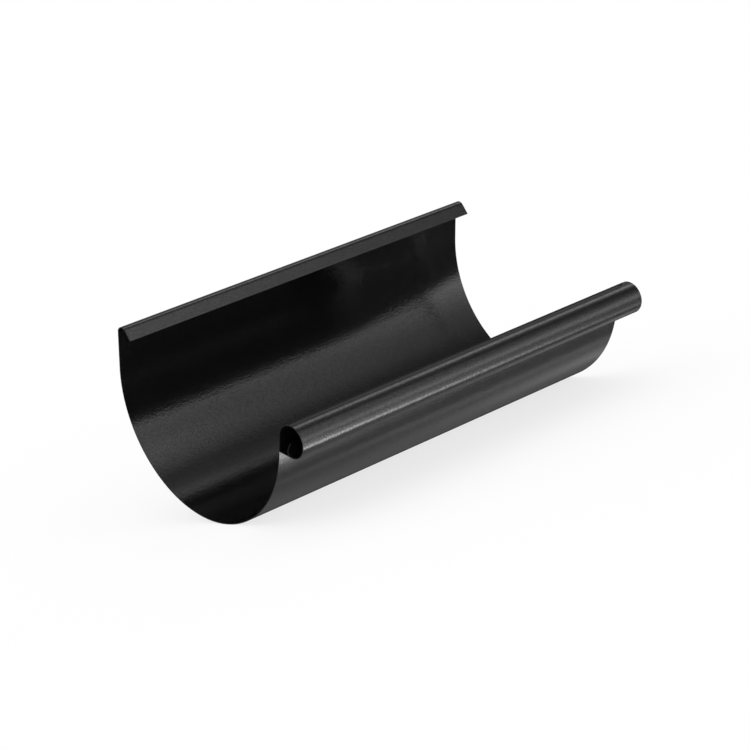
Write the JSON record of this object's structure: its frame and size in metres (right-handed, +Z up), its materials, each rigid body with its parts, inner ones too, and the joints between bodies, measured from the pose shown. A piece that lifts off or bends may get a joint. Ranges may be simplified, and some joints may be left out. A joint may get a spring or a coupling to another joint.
{
  "type": "half-round gutter section",
  "caption": "Short straight length of half-round steel roof gutter with a high back edge, a sloping fold and a rolled front bead, open at both ends.",
  "frame": {"origin": "middle of the footprint, on the floor that the section rests on", "axes": "+Y along the gutter, from the near open end to the far one; +Z up with the section lying at rest; +X across, from the high back edge to the rolled front bead"},
  "size_m": [0.1444, 0.25, 0.1079],
  "materials": {
    "coated_steel": "near-black organic coating on steel sheet, semi-gloss with a fine grain"
  },
  "bodies": {
    "root": {"gutter_section": "coated_steel"}
  },
  "joints": []
}
